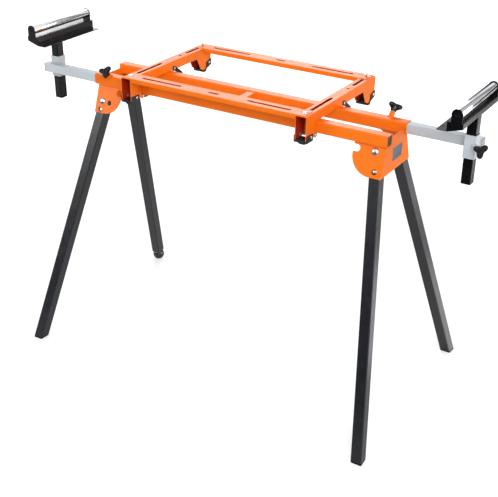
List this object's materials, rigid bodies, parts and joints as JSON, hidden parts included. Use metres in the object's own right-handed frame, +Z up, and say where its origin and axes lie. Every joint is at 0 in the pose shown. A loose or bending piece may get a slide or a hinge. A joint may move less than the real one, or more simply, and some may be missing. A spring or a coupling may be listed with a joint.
{
  "type": "miter saw stand",
  "caption": "Folding stand for a miter saw, with a sliding slotted mount frame and extending arms that carry height-adjustable work rollers.",
  "frame": {"origin": "on the floor under the middle of the two beams, with the stand open", "axes": "+X along the beams towards the right roller, +Y to the back, +Z up"},
  "size_m": [1.3454, 0.6302, 0.8995],
  "materials": {
    "orange_paint": "orange powder coat",
    "dark_paint": "dark grey powder coat",
    "black_paint": "black powder coat",
    "silver_paint": "silver grey paint",
    "chrome": "bright chrome",
    "zinc": "zinc plated",
    "black_plastic": "moulded black plastic",
    "rubber": "black rubber",
    "label": "plain grey sticker"
  },
  "bodies": {
    "frame": {"blank_label": "label", "cross_strut": "orange_paint", "front_beam": "orange_paint", "front_left_pivot_bolt": "zinc", "front_right_pivot_bolt": "zinc", "left_beam_plug": "black_plastic", "left_clamp_boss": "orange_paint", "left_leg_bracket": "orange_paint", "rear_beam": "orange_paint", "rear_left_pivot_bolt": "zinc", "rear_right_pivot_bolt": "zinc", "right_beam_plug": "black_plastic", "right_clamp_boss": "orange_paint", "right_leg_bracket": "orange_paint"},
    "front_right_leg": {"front_right_leg": "dark_paint", "front_right_foot_cap": "black_plastic"},
    "front_right_lock_pin": {"front_right_lock_pin": "zinc"},
    "rear_left_leg": {"rear_left_leg": "dark_paint", "rear_left_foot_socket": "black_plastic"},
    "rear_left_lock_pin": {"rear_left_lock_pin": "zinc"},
    "front_left_leg": {"front_left_leg": "dark_paint", "front_left_foot_cap": "black_plastic"},
    "front_left_lock_pin": {"front_left_lock_pin": "zinc"},
    "rear_right_leg": {"rear_right_leg": "dark_paint", "rear_right_foot_cap": "black_plastic"},
    "rear_right_lock_pin": {"rear_right_lock_pin": "zinc"},
    "levelling_foot": {"rear_left_levelling_foot": "rubber"},
    "left_arm": {"left_arm": "silver_paint", "left_arm_cap": "black_plastic"},
    "left_post": {"left_post": "black_paint", "left_roller_carrier": "black_paint"},
    "left_roller": {"left_roller": "chrome"},
    "left_arm_knob": {"left_arm_knob": "black_plastic"},
    "left_post_knob": {"left_post_knob": "black_plastic"},
    "right_arm": {"right_arm": "silver_paint", "right_arm_cap": "black_plastic"},
    "right_post": {"right_post": "black_paint", "right_roller_carrier": "black_paint"},
    "right_roller": {"right_roller": "chrome"},
    "right_arm_knob": {"right_arm_knob": "black_plastic"},
    "right_post_knob": {"right_post_knob": "black_plastic"},
    "left_clamp": {"left_clamp_lever": "black_plastic", "left_clamp_cam": "zinc"},
    "right_clamp": {"right_clamp_lever": "black_plastic", "right_clamp_cam": "zinc"},
    "saw_mount": {"front_rail": "orange_paint", "rear_rail": "orange_paint", "front_corner_bolts": "zinc", "rear_corner_bolts": "zinc", "pad_screws": "zinc", "left_channel": "orange_paint", "left_hook_pin": "zinc", "left_front_pad": "rubber", "left_rear_pad": "rubber", "right_channel": "orange_paint", "right_hook_pin": "zinc", "right_front_pad": "rubber", "right_rear_pad": "rubber"}
  },
  "joints": [
    {"name": "front_right_fold", "type": "hinge", "parent": "frame", "child": "front_right_leg", "pos_m": [0.4185, -0.04842, 0.72835], "axis": [0, 0.9455, -0.3256], "range_deg": [0, 98.7]},
    {"name": "front_right_lock", "type": "slide", "parent": "front_right_leg", "child": "front_right_lock_pin", "axis": [0, -0.9455, 0.3256], "range_m": [0, 0.0085]},
    {"name": "rear_left_fold", "type": "hinge", "parent": "frame", "child": "rear_left_leg", "pos_m": [-0.4185, 0.04842, 0.72835], "axis": [0, -0.9455, -0.3256], "range_deg": [0, 98.7]},
    {"name": "rear_left_lock", "type": "slide", "parent": "rear_left_leg", "child": "rear_left_lock_pin", "axis": [0, 0.9455, 0.3256], "range_m": [0, 0.0085]},
    {"name": "front_left_fold", "type": "hinge", "parent": "frame", "child": "front_left_leg", "pos_m": [-0.42321, -0.05845, 0.69923], "axis": [0, -0.9455, 0.3256], "range_deg": [0, 95]},
    {"name": "front_left_lock", "type": "slide", "parent": "front_left_leg", "child": "front_left_lock_pin", "axis": [0, -0.9455, 0.3256], "range_m": [0, 0.0085]},
    {"name": "rear_right_fold", "type": "hinge", "parent": "frame", "child": "rear_right_leg", "pos_m": [0.42321, 0.05845, 0.69923], "axis": [0, 0.9455, 0.3256], "range_deg": [0, 95]},
    {"name": "rear_right_lock", "type": "slide", "parent": "rear_right_leg", "child": "rear_right_lock_pin", "axis": [0, 0.9455, 0.3256], "range_m": [0, 0.0085]},
    {"name": "levelling_screw", "type": "slide", "parent": "rear_left_leg", "child": "levelling_foot", "axis": [-0.1513, 0.3218, -0.9346], "range_m": [0, 0.012]},
    {"name": "left_arm_slide", "type": "slide", "parent": "frame", "child": "left_arm", "axis": [-1, 0, 0], "range_m": [-0.15, 0.36]},
    {"name": "left_post_slide", "type": "slide", "parent": "left_arm", "child": "left_post", "axis": [0, 0, 1], "range_m": [-0.044, 0.08]},
    {"name": "left_roller_spin", "type": "hinge", "parent": "left_post", "child": "left_roller", "pos_m": [-0.6305, 0, 0.886], "axis": [0, 1, 0], "continuous": true},
    {"name": "left_arm_clamp", "type": "hinge", "parent": "frame", "child": "left_arm_knob", "pos_m": [-0.395, -0.055, 0.765], "axis": [0, -0.7071, 0.7071], "range_deg": [-180, 180]},
    {"name": "left_post_clamp", "type": "hinge", "parent": "left_arm", "child": "left_post_knob", "pos_m": [-0.623, -0.0275, 0.769], "axis": [-0.7071, 0.7071, 0], "range_deg": [-180, 180]},
    {"name": "right_arm_slide", "type": "slide", "parent": "frame", "child": "right_arm", "axis": [1, 0, 0], "range_m": [-0.15, 0.36]},
    {"name": "right_post_slide", "type": "slide", "parent": "right_arm", "child": "right_post", "axis": [0, 0, 1], "range_m": [-0.044, 0.08]},
    {"name": "right_roller_spin", "type": "hinge", "parent": "right_post", "child": "right_roller", "pos_m": [0.6305, 0, 0.886], "axis": [0, 1, 0], "continuous": true},
    {"name": "right_arm_clamp", "type": "hinge", "parent": "frame", "child": "right_arm_knob", "pos_m": [0.395, 0.055, 0.765], "axis": [0, 0.7071, 0.7071], "range_deg": [-180, 180]},
    {"name": "right_post_clamp", "type": "hinge", "parent": "right_arm", "child": "right_post_knob", "pos_m": [0.623, 0.0275, 0.769], "axis": [0.7071, -0.7071, 0], "range_deg": [-180, 180]},
    {"name": "saw_mount_slide", "type": "slide", "parent": "frame", "child": "saw_mount", "axis": [1, 0, 0], "range_m": [-0.042, 0.095]},
    {"name": "left_clamp_turn", "type": "hinge", "parent": "saw_mount", "child": "left_clamp", "pos_m": [-0.3, 0.0795, 0.7845], "axis": [1, 0, 0], "range_deg": [0, 75]},
    {"name": "right_clamp_turn", "type": "hinge", "parent": "saw_mount", "child": "right_clamp", "pos_m": [0.24, 0.0795, 0.7845], "axis": [1, 0, 0], "range_deg": [0, 75]}
  ]
}
